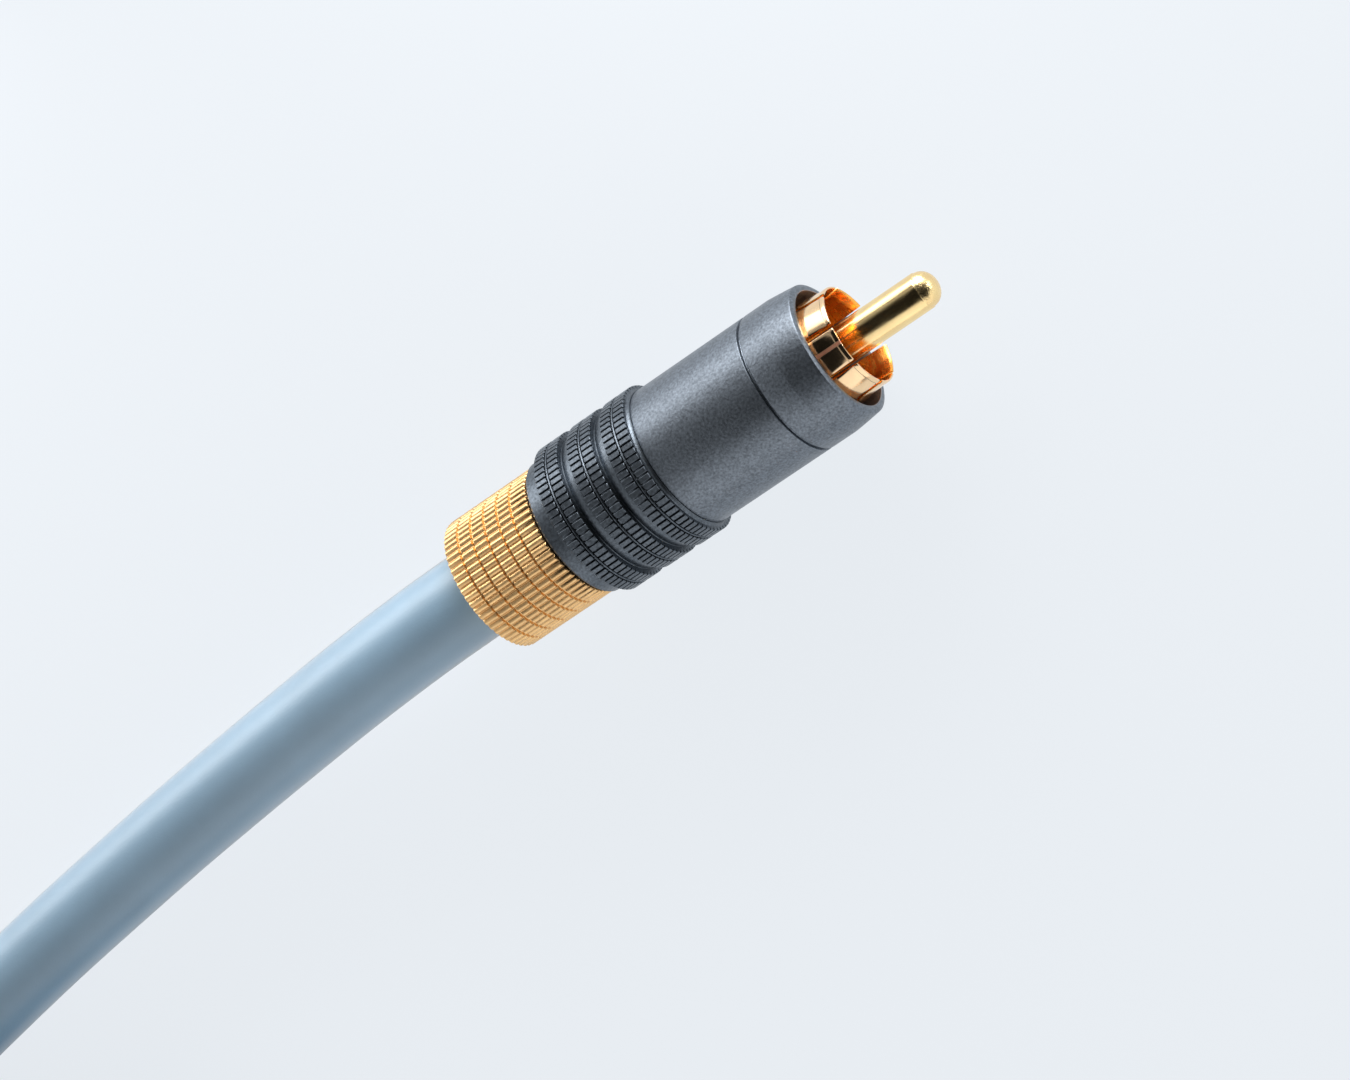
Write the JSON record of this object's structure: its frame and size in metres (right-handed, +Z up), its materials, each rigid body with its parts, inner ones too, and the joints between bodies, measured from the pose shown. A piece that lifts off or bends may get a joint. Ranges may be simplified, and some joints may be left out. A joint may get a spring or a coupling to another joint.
{
  "type": "rca audio cable",
  "caption": "Screened audio lead with a turned metal phono plug on each end: split ground ring, toothed grip, fluted clamp nut, cable wound into a coil.",
  "frame": {"origin": "centre of the near plug's box, at the surface that it lies on", "axes": "+X along the near plug towards its pin, +Z up"},
  "size_m": [0.1797, 0.1135, 0.0147],
  "materials": {
    "gold_plate": "polished gold plating on turned brass",
    "rose_gold_plate": "polished reddish gold plating",
    "satin_grey_metal": "bead-blasted grey anodised metal, satin",
    "white_insulation": "matt white insulating plastic",
    "black_plastic": "matt black moulded plastic",
    "tinned_copper": "braided tinned wire",
    "bare_copper": "drawn copper wire",
    "blue_grey_jacket": "matt pale blue-grey flexible jacket"
  },
  "bodies": {
    "root": {"near_centre_pin": "gold_plate", "near_pin_insulator": "white_insulation", "near_ground_ring": "rose_gold_plate", "near_chassis": "gold_plate", "near_sleeve": "satin_grey_metal", "near_rear_grip": "satin_grey_metal", "near_clamp_nut": "gold_plate", "near_clamp_collet": "black_plastic", "near_screen_braid": "tinned_copper", "near_core_insulation": "white_insulation", "near_conductor": "bare_copper", "far_centre_pin": "gold_plate", "far_pin_insulator": "white_insulation", "far_ground_ring": "rose_gold_plate", "far_chassis": "gold_plate", "far_sleeve": "satin_grey_metal", "far_rear_grip": "satin_grey_metal", "far_clamp_nut": "gold_plate", "far_clamp_collet": "black_plastic", "far_screen_braid": "tinned_copper", "far_core_insulation": "white_insulation", "far_conductor": "bare_copper", "cable_lead": "blue_grey_jacket", "cable_coil": "blue_grey_jacket", "cable_tail": "blue_grey_jacket"}
  },
  "joints": []
}
